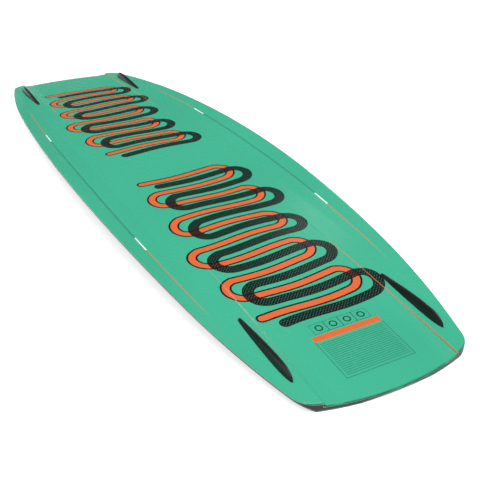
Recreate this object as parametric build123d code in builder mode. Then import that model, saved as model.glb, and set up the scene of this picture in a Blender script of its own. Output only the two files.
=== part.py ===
from build123d import *
import math
import os

# A twin-tip wakeboard, standing base side up: +Y runs along the board, +X across it and
# +Z out of the base. The origin is under the middle of the board, on the surface that
# the two tips' deck edges rest on. All sizes are in millimetres.

# ---- Driving dimensions: the whole board ----
board_length = 1400.0
board_width = 425.0
base_rocker = 28.5          # height of the base's middle over its tips
middle_thickness = 21.0
tip_thickness = 11.5
rail_edge_thickness = 3.6   # the thin edge all round
rail_bevel_run = 1.8        # how far the deck side slopes in for each mm of height
bevel_stations = [0, 0.31, 0.63, 0.8, 0.92]   # shares of the half length where the bevel is set

# ---- Outline ----
shoulder_back = 260.0       # from a tip to where the rail starts to turn in
shoulder_draw_in = 26.2     # rail at the shoulder, in from the widest point
corner_back = 22.5          # tip corner, back from the middle of the tip
corner_draw_in = 75.5       # tip corner, in from the widest point
corner_radius = 38.0

# ---- Base shape across the board ----
inner_crease_in = 64.5      # inner crease, in from the widest point
outer_crease_in = 36.5      # outer crease, in from the widest point
outer_crease_lift = 2.5     # height of the outer crease over the flat middle
rail_lift = 9.5             # height of the widest point over the flat middle

# ---- Tip channels ----
channel_step_in = 27.0      # step of a tip channel, in from the tip corner
channel_depth = 5.5         # at the tip
channel_run = 580.0         # from the tip to where the floor starts to dip
channel_start_lift = 0.30   # how far over the base the floor's curve starts

# ---- Layers ----
sheet_thickness = 0.8
laminate_thickness = 0.6
bond_line = 0.05            # resin film between neighbours
perimeter_width = 12.0
plate_thickness = 2.0
plate_margin = 19.0         # plate past the outermost insert axes
plate_corner_radius = 9.5

# ---- Binding inserts, M6 ----
insert_pitch = 25.4
insert_line_spacing = 152.4
inserts_per_line = 6
stance_half = 265.0         # from the board's middle to the middle of an insert group
insert_bore_radius = 2.5    # minor diameter of an M6 thread
insert_body_radius = 5.5
insert_length = 13.0
insert_flange_radius = 9.0
insert_flange_thickness = 1.5
insert_recess = 0.3         # mouth below the deck sheet
deck_slope = 0.06           # steepest slope of the deck across an insert's flange
fit_gap = 0.1               # bonded fits, all round

# ---- Fins and their fastenings ----
fin_corner_in = 10.5        # fin's centre line, in from the tip corner
fin_outer_back = 63.5       # fin's outer end, back from the tip
fin_length = 145.0
fin_width = 12.0
fin_widest_share = 0.62      # shares of the fin's length from its inner end
fin_rise_share = 0.35
fin_highest_share = 0.82
fin_screw_shares = [0.50, 0.82]
fin_height = 14.0
fin_inner_height = 1.8       # blunt inner end
fin_rise_height = 7.0
fin_outer_height = 3.5
fin_inner_flare = 0.5        # across for each mm along, where the inner end starts
fin_outer_flare = 6.5        # across for each mm along, where the outer end closes
fin_crest_width = 7.0        # the rounded ridge along the top
fin_crest_drop = 1.75
fin_overrun = 1.0            # how far the side profile is drawn past the fin's ends
screw_radius = 2.5
screw_clearance = 0.05
screw_head_radius = 4.8
screw_head_dome = 1.0       # how far the raised head stands out of its washer
screw_socket_width = 3.0
screw_socket_depth = 1.8
screw_reach = 5.2           # thread inside the fin
screw_tip_chamfer = 0.8
fin_insert_radius = 3.2
fin_insert_length = 6.0
insert_foot_rise = 0.35     # keeps the inserts' flat ends inside the fin's sloping foot
ferrule_bore_radius = 2.8
ferrule_radius = 4.5
washer_radius = 7.5
washer_thickness = 2.2
washer_chamfer = 1.54
washer_seat_depth = 0.4

# ---- Worked out from the sizes above ----
half_length = board_length / 2
half_middle = board_width / 2
base_top = tip_thickness + base_rocker
deck_top = base_top - middle_thickness
tip_edge_z = tip_thickness - channel_depth - rail_edge_thickness
contact_y = half_length - tip_edge_z * rail_bevel_run   # where the tips' deck bevel starts
reach = half_middle + 30
overrun = 30.0
below = -60.0
above = 120.0
shoulder_x = half_middle - shoulder_draw_in
shoulder_y = half_length - shoulder_back
corner_x = half_middle - corner_draw_in
corner_y = half_length - corner_back
fin_x = corner_x - fin_corner_in
step_x = corner_x - channel_step_in
fin_outer_y = half_length - fin_outer_back
fin_inner_y = fin_outer_y - fin_length


def arc_radius(rise, half_chord):
    """Radius of an arc of this rise over this half chord."""
    return (half_chord**2 + rise**2) / (2 * rise)


base_radius = arc_radius(base_rocker, half_length)
deck_radius = arc_radius(deck_top, contact_y)
side_radius = arc_radius(shoulder_draw_in, shoulder_y)
side_centre_x = half_middle - side_radius
shoulder_normal = Vector(shoulder_x - side_centre_x, shoulder_y).normalized()
ease_chord = Vector(corner_x - shoulder_x, corner_y - shoulder_y)
ease_radius = -ease_chord.dot(ease_chord) / (2 * ease_chord.dot(shoulder_normal))
ease_centre = Vector(shoulder_x, shoulder_y) - shoulder_normal * ease_radius
tip_radius = arc_radius(corner_back, corner_x)


def half_width(y):
    """Half the board's width at a place along it."""
    y = abs(y)
    if y <= shoulder_y:
        return side_centre_x + math.sqrt(side_radius**2 - y**2)
    return ease_centre.X + math.sqrt(ease_radius**2 - (y - ease_centre.Y) ** 2)


def base_z(y):
    """Height of the base's flat middle, left out of the tip channels."""
    return base_top - base_radius + math.sqrt(base_radius**2 - y**2)


def deck_z(y):
    """Height of the deck's flat middle."""
    return deck_top - deck_radius + math.sqrt(deck_radius**2 - y**2)


def base_lift(x):
    """Height of the base over its flat middle, at a place across it."""
    inner = half_middle - inner_crease_in
    outer = half_middle - outer_crease_in
    if x <= inner:
        return 0.0
    if x <= outer:
        return outer_crease_lift * (x - inner) / (outer - inner)
    slope = (rail_lift - outer_crease_lift) / outer_crease_in
    return outer_crease_lift + slope * (x - outer)


def corner_point(inset):
    """Where the side and the tip would meet, both drawn in by an inset."""
    ease_r, tip_r = ease_radius - inset, tip_radius - inset
    across = Vector(0, half_length - tip_radius) - ease_centre
    along = (ease_r**2 - tip_r**2 + across.length**2) / (2 * across.length)
    aside = math.sqrt(ease_r**2 - along**2)
    unit = across.normalized()
    return ease_centre + unit * along + Vector(-unit.Y, unit.X) * aside


def outline_block(inset):
    """The board's plan shape, drawn in by an inset and made very tall."""
    corner = corner_point(inset)
    shoulder = Vector(shoulder_x, shoulder_y) - shoulder_normal * inset
    ease_y = (shoulder.Y + corner.Y) / 2
    ease_x = ease_centre.X + math.sqrt((ease_radius - inset) ** 2 - (ease_y - ease_centre.Y) ** 2)
    middle_x = half_middle - inset
    tip_y = half_length - inset
    with BuildPart() as block:
        with BuildSketch(Plane.XY.offset(below)) as plan:
            with BuildLine():
                ThreePointArc((shoulder.X, -shoulder.Y), (middle_x, 0), (shoulder.X, shoulder.Y))
                ThreePointArc((shoulder.X, shoulder.Y), (ease_x, ease_y), (corner.X, corner.Y))
                ThreePointArc((shoulder.X, -shoulder.Y), (ease_x, -ease_y), (corner.X, -corner.Y))
                mirror(about=Plane.YZ)
                ThreePointArc((corner.X, corner.Y), (0, tip_y), (-corner.X, corner.Y))
                ThreePointArc((corner.X, -corner.Y), (0, -tip_y), (-corner.X, -corner.Y))
            make_face()
            corners = plan.vertices().filter_by(lambda v: abs(v.Y) > corner.Y - 1)
            fillet(corners, radius=corner_radius - inset)
        extrude(amount=above - below)
    return block.part


def under_base(drop):
    """Everything under the base, once that is lowered by a drop, tip channels cut out."""
    turn = math.asin((half_length + overrun) / base_radius)
    centre_z = base_top - base_radius
    outer = half_middle - outer_crease_in
    inner = half_middle - inner_crease_in
    level = base_radius - drop
    start = Plane(
        origin=(0, 0, centre_z), x_dir=(1, 0, 0), z_dir=(0, -math.cos(turn), math.sin(turn))
    )
    with BuildPart() as block:
        with BuildSketch(start):
            with BuildLine():
                Polyline(
                    (-reach, level + base_lift(reach)),
                    (-outer, level + base_lift(outer)),
                    (-inner, level),
                    (inner, level),
                    (outer, level + base_lift(outer)),
                    (reach, level + base_lift(reach)),
                    (reach, base_radius + below),
                    (-reach, base_radius + below),
                    close=True,
                )
            make_face()
        revolve(axis=Axis((0, 0, centre_z), (1, 0, 0)), revolution_arc=2 * math.degrees(turn))
        channel_y = half_length - channel_run
        floor_start = Vector(channel_y, base_z(channel_y) + channel_start_lift)
        floor_tip = Vector(half_length, tip_thickness - channel_depth)
        down = Vector(-channel_y, base_top - base_radius - floor_start.Y).normalized()
        dip = floor_tip - floor_start
        floor_radius = dip.dot(dip) / (2 * dip.dot(down))
        floor_centre = floor_start + down * floor_radius
        end_y = half_length + overrun
        end_z = floor_centre.Y + math.sqrt(floor_radius**2 - (end_y - floor_centre.X) ** 2)
        with BuildSketch(Plane.YZ):
            with BuildLine():
                floor = TangentArc(
                    (channel_y, floor_start.Y - drop), (end_y, end_z - drop), tangent=(-down.Y, down.X)
                )
                Polyline(floor @ 1, (end_y, above), (channel_y, above), floor @ 0)
            make_face()
            mirror(about=Plane.YZ)
        extrude(amount=step_x + drop, both=True, mode=Mode.SUBTRACT)
    return block.part


def deck_block():
    """Everything on the base's side of the deck and of the sloped rails."""
    places = [share * half_length for share in bevel_stations] + [half_length + overrun]
    places = [-y for y in reversed(places[1:])] + places
    with BuildPart() as block:
        for y in places:
            edge_z = base_z(y) + base_lift(half_width(y)) - rail_edge_thickness
            low_x = half_width(y) - (edge_z + overrun) * rail_bevel_run
            high_x = half_width(y) + (above - edge_z) * rail_bevel_run
            with BuildSketch(Plane.XZ.offset(-y)):
                Polygon(
                    (-low_x, -overrun),
                    (low_x, -overrun),
                    (high_x, above),
                    (-high_x, above),
                    align=None,
                )
        loft()
        end_y = half_length + overrun
        end_z = tip_edge_z + overrun / rail_bevel_run
        with BuildSketch(Plane.YZ):
            with BuildLine():
                arch = ThreePointArc((-contact_y, 0), (0, deck_top), (contact_y, 0))
                Polyline(
                    arch @ 1,
                    (end_y, end_z),
                    (end_y, above),
                    (-end_y, above),
                    (-end_y, end_z),
                    arch @ 0,
                )
            make_face()
        extrude(amount=reach, both=True, mode=Mode.INTERSECT)
    return block.part


# ---- Shared shapes ----
plan_full = outline_block(0)
plan_inside = outline_block(perimeter_width)
plan_core = outline_block(perimeter_width + bond_line)
over_deck = deck_block()
level_sheet = sheet_thickness
level_laminate_top = level_sheet + bond_line
level_laminate = level_laminate_top + laminate_thickness
level_core = level_laminate + bond_line
level_plate = level_core + plate_thickness


def deck_lifted(lift):
    """The deck block, raised by a lift."""
    return Pos(0, 0, lift) * over_deck


def drill(places, radius, low, high):
    """Upright cylinders at (x, y) places, from low(y) to high(y)."""
    for x, y in places:
        bottom = low(y)
        with Locations((x, y, bottom)):
            Cylinder(
                radius, high(y) - bottom, align=(Align.CENTER, Align.CENTER, Align.MIN), mode=Mode.SUBTRACT
            )


insert_group_y = [(i - (inserts_per_line - 1) / 2) * insert_pitch for i in range(inserts_per_line)]
insert_places = [
    (side * insert_line_spacing / 2, end * stance_half + dy)
    for end in (-1, 1)
    for side in (-1, 1)
    for dy in insert_group_y
]
screw_ys = [fin_inner_y + share * fin_length for share in fin_screw_shares]
screw_places = [
    (side * fin_x, end * y)
    for end in (-1, 1)
    for side in (-1, 1)
    for y in screw_ys
]
plate_width = insert_line_spacing + 2 * plate_margin
plate_length = (inserts_per_line - 1) * insert_pitch + 2 * plate_margin
flange_rise = level_plate + insert_flange_radius * deck_slope + bond_line


def through_low(y):
    """Low end of a hole right through."""
    return below


def through_high(y):
    """High end of a hole right through."""
    return above


def insert_mouth(y):
    """Height of a binding insert's open end."""
    return deck_z(y) + insert_recess


def insert_top(y):
    """Height of the end of a binding insert's hole."""
    return insert_mouth(y) + insert_length + fit_gap


def flange_low(y):
    """Lower side of the room for an insert's flange."""
    return deck_z(y) + flange_rise - fit_gap


def flange_high(y):
    """Upper side of the room for an insert's flange."""
    return deck_z(y) + flange_rise + insert_flange_thickness + fit_gap


def washer_seat(y):
    """Height of the recess that a fin washer sits in."""
    return deck_z(y) + washer_seat_depth


def plate_block(end, growth, top):
    """The space of an insert plate, grown all round, up to a level over the deck."""
    with BuildPart() as block:
        with BuildSketch(Plane.XY.offset(below)):
            with Locations((0, end * stance_half)):
                RectangleRounded(
                    plate_width + 2 * growth, plate_length + 2 * growth, plate_corner_radius
                )
        extrude(amount=above - below)
        add(deck_lifted(top), mode=Mode.SUBTRACT)
    return block.part


os.makedirs("parts", exist_ok=True)


def finish(piece, name):
    """Label a finished piece and write it."""
    piece.part.label = name
    export_step(piece.part, f"parts/{name}.step")


# ---- Skins, laminates, perimeter, core ----
with BuildPart() as base_sheet:
    add(plan_full)
    add(under_base(0), mode=Mode.INTERSECT)
    add(under_base(level_sheet), mode=Mode.SUBTRACT)
    drill(screw_places, ferrule_radius + fit_gap, through_low, through_high)
finish(base_sheet, "base_sheet")

with BuildPart() as base_laminate:
    add(plan_full)
    add(under_base(level_laminate_top), mode=Mode.INTERSECT)
    add(under_base(level_laminate), mode=Mode.SUBTRACT)
    drill(screw_places, ferrule_radius + fit_gap, through_low, through_high)
finish(base_laminate, "base_laminate")

with BuildPart() as rail_perimeter:
    add(plan_full)
    add(plan_inside, mode=Mode.SUBTRACT)
    add(under_base(level_core), mode=Mode.INTERSECT)
    add(deck_lifted(level_core), mode=Mode.INTERSECT)
finish(rail_perimeter, "rail_perimeter")

with BuildPart() as foam_core:
    add(plan_core)
    add(under_base(level_core), mode=Mode.INTERSECT)
    add(deck_lifted(level_core), mode=Mode.INTERSECT)
    drill(screw_places, ferrule_radius + fit_gap, through_low, through_high)
    drill(insert_places, insert_body_radius + fit_gap, through_low, insert_top)
    drill(insert_places, insert_flange_radius + fit_gap, flange_low, flange_high)
    for end in (-1, 1):
        add(plate_block(end, fit_gap, level_plate + bond_line), mode=Mode.SUBTRACT)
finish(foam_core, "foam_core")

with BuildPart() as deck_laminate:
    add(plan_full)
    add(deck_lifted(level_laminate_top), mode=Mode.INTERSECT)
    add(deck_lifted(level_laminate), mode=Mode.SUBTRACT)
    drill(screw_places, ferrule_radius + fit_gap, through_low, through_high)
    drill(insert_places, insert_body_radius + fit_gap, through_low, through_high)
finish(deck_laminate, "deck_laminate")

with BuildPart() as deck_sheet:
    add(plan_full)
    add(deck_lifted(0), mode=Mode.INTERSECT)
    add(deck_lifted(level_sheet), mode=Mode.SUBTRACT)
    drill(screw_places, ferrule_radius + fit_gap, through_low, through_high)
    drill(screw_places, washer_radius + fit_gap, through_low, washer_seat)
    drill(insert_places, insert_body_radius + fit_gap, through_low, through_high)
finish(deck_sheet, "deck_sheet")


# ---- Insert plates and binding inserts ----
for end, end_name in ((-1, "near"), (1, "far")):
    with BuildPart() as insert_plate:
        add(plate_block(end, 0, level_plate))
        add(deck_lifted(level_core), mode=Mode.INTERSECT)
        drill(insert_places, insert_body_radius + fit_gap, through_low, through_high)
    finish(insert_plate, f"insert_plate_{end_name}")
    for side, side_name in ((-1, "left"), (1, "right")):
        with BuildPart() as binding_inserts:
            for dy in insert_group_y:
                x, y = side * insert_line_spacing / 2, end * stance_half + dy
                mouth = insert_mouth(y)
                flange_z = deck_z(y) + flange_rise
                with Locations((x, y, mouth)):
                    Cylinder(
                        insert_body_radius, insert_length, align=(Align.CENTER, Align.CENTER, Align.MIN)
                    )
                with Locations((x, y, flange_z)):
                    Cylinder(
                        insert_flange_radius,
                        insert_flange_thickness,
                        align=(Align.CENTER, Align.CENTER, Align.MIN),
                    )
                with Locations((x, y, mouth)):
                    Cylinder(
                        insert_bore_radius,
                        insert_length - insert_flange_thickness,
                        align=(Align.CENTER, Align.CENTER, Align.MIN),
                        mode=Mode.SUBTRACT,
                    )
        finish(binding_inserts, f"binding_inserts_{end_name}_{side_name}")

# ---- One fin and its fastenings, at the far right, then mirrored to the other corners ----
board_space = under_base(-bond_line)
fin_rise_y = fin_inner_y + fin_rise_share * fin_length
fin_widest_y = fin_inner_y + fin_widest_share * fin_length
fin_highest_y = fin_inner_y + fin_highest_share * fin_length


def fin_z(y):
    """Height of a fin's foot."""
    return base_z(y) + bond_line


with BuildPart() as fin:
    with BuildSketch(Plane.XY):
        with BuildLine():
            right = Spline(
                (fin_x, fin_inner_y),
                (fin_x + fin_width / 2, fin_widest_y),
                (fin_x, fin_outer_y),
                tangents=[(fin_inner_flare, 1), (-fin_outer_flare, 1)],
            )
            mirror(right, about=Plane.YZ.offset(fin_x))
        make_face()
    extrude(amount=above)
    with BuildSketch(Plane.YZ):
        with BuildLine():
            start_y, end_y = fin_inner_y - fin_overrun, fin_outer_y + fin_overrun
            ridge = Spline(
                (start_y, fin_z(fin_inner_y) + fin_inner_height),
                (fin_rise_y, fin_z(fin_rise_y) + fin_rise_height),
                (fin_highest_y, fin_z(fin_highest_y) + fin_height),
                (end_y, fin_z(fin_outer_y) + fin_outer_height),
            )
            Polyline(ridge @ 1, (end_y, 0), (start_y, 0), ridge @ 0)
        make_face()
    extrude(amount=reach, both=True, mode=Mode.INTERSECT)
    fin_foot_z = fin_z(fin_outer_y)
    fin_crest_z = fin_z(fin_highest_y) + fin_height
    with BuildSketch(Plane.XZ.offset(-fin_inner_y)):
        with BuildLine():
            foot_left = (fin_x - fin_width / 2, fin_foot_z)
            foot_right = (fin_x + fin_width / 2, fin_foot_z)
            arch = ThreePointArc(
                (fin_x - fin_crest_width / 2, fin_crest_z - fin_crest_drop),
                (fin_x, fin_crest_z),
                (fin_x + fin_crest_width / 2, fin_crest_z - fin_crest_drop),
            )
            Polyline(arch @ 1, foot_right, (foot_right[0], 0), (foot_left[0], 0), foot_left, arch @ 0)
        make_face()
    extrude(amount=-fin_length - fin_overrun, mode=Mode.INTERSECT)
    add(board_space, mode=Mode.SUBTRACT)
    for y in screw_ys:
        with Locations((fin_x, y, 0)):
            Cylinder(
                fin_insert_radius + bond_line,
                fin_z(y) + insert_foot_rise + fin_insert_length + bond_line,
                align=(Align.CENTER, Align.CENTER, Align.MIN),
                mode=Mode.SUBTRACT,
            )

with BuildPart() as fin_inserts:
    for y in screw_ys:
        with Locations((fin_x, y, fin_z(y) + insert_foot_rise)):
            Cylinder(fin_insert_radius, fin_insert_length, align=(Align.CENTER, Align.CENTER, Align.MIN))
            Cylinder(
                screw_radius + screw_clearance,
                fin_insert_length,
                align=(Align.CENTER, Align.CENTER, Align.MIN),
                mode=Mode.SUBTRACT,
            )

with BuildPart() as fin_ferrules:
    for y in screw_ys:
        with Locations((fin_x, y, washer_seat(y) + bond_line)):
            Cylinder(ferrule_radius, above, align=(Align.CENTER, Align.CENTER, Align.MIN))
            Cylinder(
                ferrule_bore_radius,
                above,
                align=(Align.CENTER, Align.CENTER, Align.MIN),
                mode=Mode.SUBTRACT,
            )
    add(under_base(0), mode=Mode.INTERSECT)

head_cone_height = screw_head_radius - screw_radius
dome_radius = arc_radius(screw_head_dome, screw_head_radius)
dome_middle_x = screw_head_radius / 2
dome_middle_drop = math.sqrt(dome_radius**2 - dome_middle_x**2) - dome_radius + screw_head_dome


def washer_low(y):
    """Height of a washer's outer face."""
    return washer_seat(y) - bond_line - washer_thickness


with BuildPart() as fin_washers:
    for y in screw_ys:
        low = washer_low(y)
        cone_radius = screw_head_radius + screw_clearance
        cone_rise = cone_radius - ferrule_bore_radius
        with BuildSketch(Plane.XZ.offset(-y)):
            with BuildLine():
                Polyline(
                    (fin_x + cone_radius, low),
                    (fin_x + washer_radius - washer_chamfer, low),
                    (fin_x + washer_radius, low + washer_chamfer),
                    (fin_x + washer_radius, low + washer_thickness),
                    (fin_x + ferrule_bore_radius, low + washer_thickness),
                    (fin_x + ferrule_bore_radius, low + cone_rise),
                    close=True,
                )
            make_face()
        revolve(axis=Axis((fin_x, y, 0), (0, 0, 1)))

with BuildPart() as fin_screws:
    for y in screw_ys:
        low = washer_low(y)
        tip_z = fin_z(y) + screw_reach
        with BuildSketch(Plane.XZ.offset(-y)):
            with BuildLine():
                dome = ThreePointArc(
                    (fin_x, low - screw_head_dome),
                    (fin_x + dome_middle_x, low - dome_middle_drop),
                    (fin_x + screw_head_radius, low),
                )
                Polyline(
                    dome @ 1,
                    (fin_x + screw_radius, low + head_cone_height),
                    (fin_x + screw_radius, tip_z - screw_tip_chamfer),
                    (fin_x + screw_radius - screw_tip_chamfer, tip_z),
                    (fin_x, tip_z),
                    dome @ 0,
                )
            make_face()
        revolve(axis=Axis((fin_x, y, 0), (0, 0, 1)))
        with BuildSketch(Plane.XY.offset(low - screw_socket_depth)):
            with Locations((fin_x, y)):
                RegularPolygon(screw_socket_width / 2, 6, major_radius=False)
        extrude(amount=2 * screw_socket_depth - screw_head_dome, mode=Mode.SUBTRACT)

corner_pieces = {
    "fin": fin,
    "fin_inserts": fin_inserts,
    "fin_ferrules": fin_ferrules,
    "fin_washers": fin_washers,
    "fin_screws": fin_screws,
}
for piece_name, original in corner_pieces.items():
    for end, end_name in ((-1, "near"), (1, "far")):
        for side, side_name in ((-1, "left"), (1, "right")):
            shape = original.part
            if end < 0:
                shape = mirror(shape, about=Plane.XZ)
            if side < 0:
                shape = mirror(shape, about=Plane.YZ)
            with BuildPart() as corner_piece:
                add(shape)
            finish(corner_piece, f"{piece_name}_{end_name}_{side_name}")
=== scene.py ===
import math

import bpy
import numpy as np
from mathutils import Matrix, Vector


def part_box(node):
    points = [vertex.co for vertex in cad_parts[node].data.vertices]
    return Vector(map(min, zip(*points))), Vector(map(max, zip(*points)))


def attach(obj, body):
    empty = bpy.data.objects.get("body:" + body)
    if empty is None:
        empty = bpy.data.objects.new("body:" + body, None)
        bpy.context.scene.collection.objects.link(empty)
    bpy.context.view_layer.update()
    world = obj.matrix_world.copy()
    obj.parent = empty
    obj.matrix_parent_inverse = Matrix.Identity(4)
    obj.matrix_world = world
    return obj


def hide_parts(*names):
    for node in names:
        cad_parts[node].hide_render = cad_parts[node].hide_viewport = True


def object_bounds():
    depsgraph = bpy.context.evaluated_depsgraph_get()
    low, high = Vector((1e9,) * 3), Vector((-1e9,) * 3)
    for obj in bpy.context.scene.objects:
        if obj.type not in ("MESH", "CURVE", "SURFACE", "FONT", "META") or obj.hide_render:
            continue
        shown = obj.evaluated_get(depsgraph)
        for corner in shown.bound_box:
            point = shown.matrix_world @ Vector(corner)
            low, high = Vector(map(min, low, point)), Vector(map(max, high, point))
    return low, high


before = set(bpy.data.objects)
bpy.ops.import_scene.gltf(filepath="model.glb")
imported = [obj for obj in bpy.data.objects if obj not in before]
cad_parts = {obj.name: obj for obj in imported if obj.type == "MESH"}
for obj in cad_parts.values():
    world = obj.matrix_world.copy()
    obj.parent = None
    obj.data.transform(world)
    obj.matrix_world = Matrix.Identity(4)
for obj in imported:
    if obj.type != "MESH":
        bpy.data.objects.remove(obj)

CAD_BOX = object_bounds()

bl_info = {
    "name": "Wakeboard Looks",
    "version": (1, 0, 0),
    "blender": (4, 5, 0),
    "location": "3D View > Sidebar > Wakeboard",
    "description": "Builds the visible sheets, fins, threads, finishes and stage of a wakeboard",
    "category": "Add Mesh",
}

SHEET_LOW, SHEET_HIGH = (Vector(corner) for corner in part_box("base_sheet"))
CORNERS = [(end, side) for end in ("near", "far") for side in ("left", "right")]
SIGN = {"near": -1.0, "far": 1.0}


def distance(name, description, default):
    """A size in metres that a user may change."""
    return bpy.props.FloatProperty(
        name=name, description=description, default=default, subtype="DISTANCE", unit="LENGTH", precision=5
    )


def colour(name, description, default):
    """A linear colour that a user may change."""
    return bpy.props.FloatVectorProperty(
        name=name, description=description, default=default, subtype="COLOR", size=3, min=0.0, max=1.0
    )


def amount(name, description, default, high=1.0):
    """A plain number that a user may change."""
    return bpy.props.FloatProperty(name=name, description=description, default=default, min=0.0, max=high)


class WAKEBOARD_PG_outline(bpy.types.PropertyGroup):
    """Plan shape of the board."""

    length: distance("Length", "Tip to tip", SHEET_HIGH.y - SHEET_LOW.y)
    width: distance("Width", "Widest place across the rails", SHEET_HIGH.x - SHEET_LOW.x)
    shoulder_back: distance("Shoulder back", "From a tip to where the rail turns in", 0.260)
    shoulder_draw_in: distance("Shoulder draw-in", "Rail at the shoulder, in from the widest place", 0.0262)
    corner_back: distance("Corner back", "Tip corner, back from the middle of the tip", 0.0225)
    corner_draw_in: distance("Corner draw-in", "Tip corner, in from the widest place", 0.0755)
    corner_radius: distance("Corner radius", "Rounding of the tip corners", 0.038)


class WAKEBOARD_PG_base(bpy.types.PropertyGroup):
    """Shape of the base sheet."""

    rocker: distance("Rocker", "Height of the base's middle over its tips", 0.0285)
    rail_lift: distance("Rail lift", "Height of the widest place over the flat middle", 0.0095)
    inner_crease_in: distance("Inner crease", "In from the widest place", 0.0645)
    outer_crease_in: distance("Outer crease", "Kink of the laminate below, in from the widest place", 0.0365)
    outer_crease_lift: distance("Outer crease lift", "Height over the flat middle", 0.0025)
    crease_gap_middle: distance("Crease gap, middle", "Crease to rail at the board's middle", 0.0325)
    crease_gap_end: distance("Crease gap, end", "Crease to rail where the crease ends", 0.021)
    crease_end: distance("Crease end", "Where the outer crease has faded, from the middle", 0.48)
    groove_depth: distance("Groove depth", "Groove pressed along the outer crease", 0.0007)
    groove_width: distance("Groove width", "Half width of that groove", 0.0022)
    step_in: distance("Channel step", "In from the tip corner", 0.027)
    step_wall: distance("Step wall", "How wide the step's wall is in plan", 0.0024)
    channel_depth: distance("Channel depth", "At the tip", 0.0055)
    channel_run: distance("Channel run", "From the tip to where the floor starts to dip", 0.580)
    channel_start_lift: distance("Channel start", "How far over the base the floor's curve starts", 0.0003)
    floor_roll: distance("Floor roll", "How far the floor rises towards the step", 0.0021)
    floor_roll_width: distance("Floor roll width", "Width of that rise, in plan", 0.024)
    sheet: distance("Sheet", "Thickness of the base sheet", 0.0008)
    row_step: distance("Row step", "Spacing of the mesh along the board", 0.0035)


class WAKEBOARD_PG_graphic(bpy.types.PropertyGroup):
    """Printed graphic: generic wave strokes with woven shadows, and a blank care panel."""

    stroke_half: distance("Stroke half width", "Half width of an orange stroke", 0.0058)
    outline: distance("Outline", "Width of the black line round a stroke", 0.0032)
    shadow_half: distance("Shadow half width", "Half width of a woven shadow", 0.0092)
    shadow_x: distance("Shadow across", "How far a shadow lies to the right", 0.026)
    shadow_y: distance("Shadow along", "How far a shadow lies towards the near tip", -0.022)
    weave: distance("Weave pitch", "Spacing of the dots along a row of a shadow", 0.0056)
    green: colour("Green", "Base colour", (0.047, 0.405, 0.250))
    orange: colour("Orange", "Strokes, pinstripes and bar", (0.660, 0.126, 0.0375))
    black: colour("Black", "Outlines and shadows", (0.0045, 0.0060, 0.0060))
    white: colour("White", "Rail marks", (0.90, 0.90, 0.88))
    panel_ink: colour("Panel ink", "Hairlines of the care panel", (0.008, 0.045, 0.032))


class WAKEBOARD_PG_fins(bpy.types.PropertyGroup):
    """Moulded fins."""

    height: distance("Height", "Ridge over the base", 0.0140)
    foot: distance("Foot width", "Widest place across the foot", 0.0128)
    widest: amount("Widest place", "Share of the length from the inner end", 0.62)
    highest: amount("Highest place", "Share of the length from the inner end", 0.82)
    blunt: amount("Blunt end", "Share of the length over which the inner end rounds off", 0.035)
    end_width: amount("End width", "Share of the foot width that the inner end has at once", 0.48)
    end_height: amount("End height", "Share of the height that the inner end has at once", 0.20)
    squareness: amount("Squareness", "Below 1 fills out the section", 0.86)
    lean: amount("Lean", "Share by which the ridge is narrower than the foot", 0.38)


class WAKEBOARD_PG_threads(bpy.types.PropertyGroup):
    """Threads of the binding inserts."""

    bore: distance("Bore radius", "Minor radius of the thread", 0.0025)
    pitch: distance("Pitch", "Thread pitch", 0.001)
    tooth: distance("Tooth", "Radius of a thread's rounded crest", 0.00034)
    turns: bpy.props.IntProperty(name="Turns", description="Turns in each insert", default=9, min=1)


class WAKEBOARD_PG_stage(bpy.types.PropertyGroup):
    """Floor, light and camera."""

    camera: bpy.props.FloatVectorProperty(
        name="Camera", description="Where the camera stands", default=(-0.5698, -1.2867, 0.6778),
        subtype="TRANSLATION", unit="LENGTH", size=3,
    )
    forward: bpy.props.FloatVectorProperty(
        name="View direction", description="Where the camera looks", default=(0.42270, 0.75712, -0.49808),
        subtype="DIRECTION", size=3,
    )
    upward: bpy.props.FloatVectorProperty(
        name="View up", description="Up in the picture", default=(0.23265, 0.43926, 0.86771),
        subtype="DIRECTION", size=3,
    )
    lens: amount("Lens", "Focal length in mm on a 36 mm sensor", 58.75, high=500.0)
    floor: distance("Floor", "Half size of the floor", 9.0)
    sun: amount("Overhead", "Strength of the wide overhead light", 3.05, high=20.0)
    softbox: amount("Softbox", "Power of the far softbox in watts", 0.7, high=1000.0)
    strip: amount("Ridge light", "Power of the low softbox in watts", 2.5, high=1000.0)
    zenith: amount("Zenith", "Strength of the even light from above", 0.95, high=10.0)
    horizon: amount("Horizon", "Strength of the even light near the floor", 0.10, high=10.0)
    floor_glow: amount("Floor glow", "Even light of the floor itself, which softens shadows", 0.76)


# ---- Plan shape and heights ----
def arc_radius(rise, half_chord):
    """Radius of an arc of this rise over this half chord."""
    return (half_chord**2 + rise**2) / (2 * rise)


def smooth(t):
    """Smooth step from 0 to 1."""
    t = np.clip(t, 0.0, 1.0)
    return t * t * (3 - 2 * t)


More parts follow.
